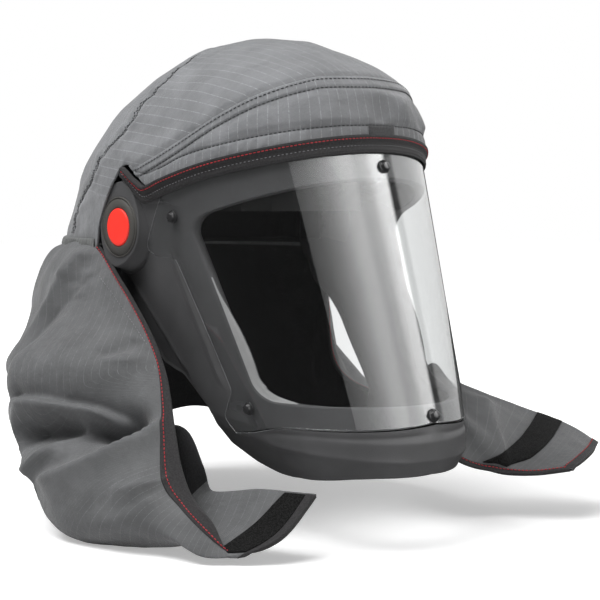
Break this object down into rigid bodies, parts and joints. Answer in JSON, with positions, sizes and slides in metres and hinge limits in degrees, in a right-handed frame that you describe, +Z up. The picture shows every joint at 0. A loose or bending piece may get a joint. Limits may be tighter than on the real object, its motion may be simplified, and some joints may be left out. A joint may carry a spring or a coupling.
{
  "type": "respirator hood",
  "caption": "Air-fed painter's hood: gathered cloth cover and open-fronted bib with flaps on a moulded visor frame with a clear wraparound lens film.",
  "frame": {"origin": "midpoint of the axis through the side pivots, which is where the hood is held by the head band", "axes": "+Z up, the wearer faces -Y, the wearer's right is -X"},
  "size_m": [0.3962, 0.4035, 0.3666],
  "materials": {
    "hood_cloth": "matte",
    "bib_cloth": "matte",
    "binding_tape": "matte",
    "elastic_cloth": "matte",
    "label_cloth": "matte",
    "hook_tape": "matte",
    "frame_plastic": "satin",
    "lens_film": "gloss",
    "stud_plastic": "satin",
    "disc_plastic": "satin",
    "cap_plastic": "satin",
    "band_plastic": "matte"
  },
  "bodies": {
    "root": {"crown_cover": "hood_cloth", "brow_panel": "hood_cloth", "bib": "bib_cloth", "face_binding": "binding_tape", "bib_binding_right": "binding_tape", "bib_binding_left": "binding_tape", "neck_elastic": "elastic_cloth", "label_tab": "label_cloth", "hook_strip": "hook_tape", "loop_strip": "hook_tape", "visor_frame": "frame_plastic", "visor_lens": "lens_film", "stud_top": "stud_plastic", "stud_bottom": "stud_plastic", "stud_upper_right": "stud_plastic", "stud_upper_left": "stud_plastic", "stud_lower_right": "stud_plastic", "stud_lower_left": "stud_plastic", "pivot_disc_right": "disc_plastic", "pivot_disc_left": "disc_plastic", "pivot_cap_right": "cap_plastic", "pivot_cap_left": "cap_plastic", "head_band": "band_plastic"}
  },
  "joints": []
}
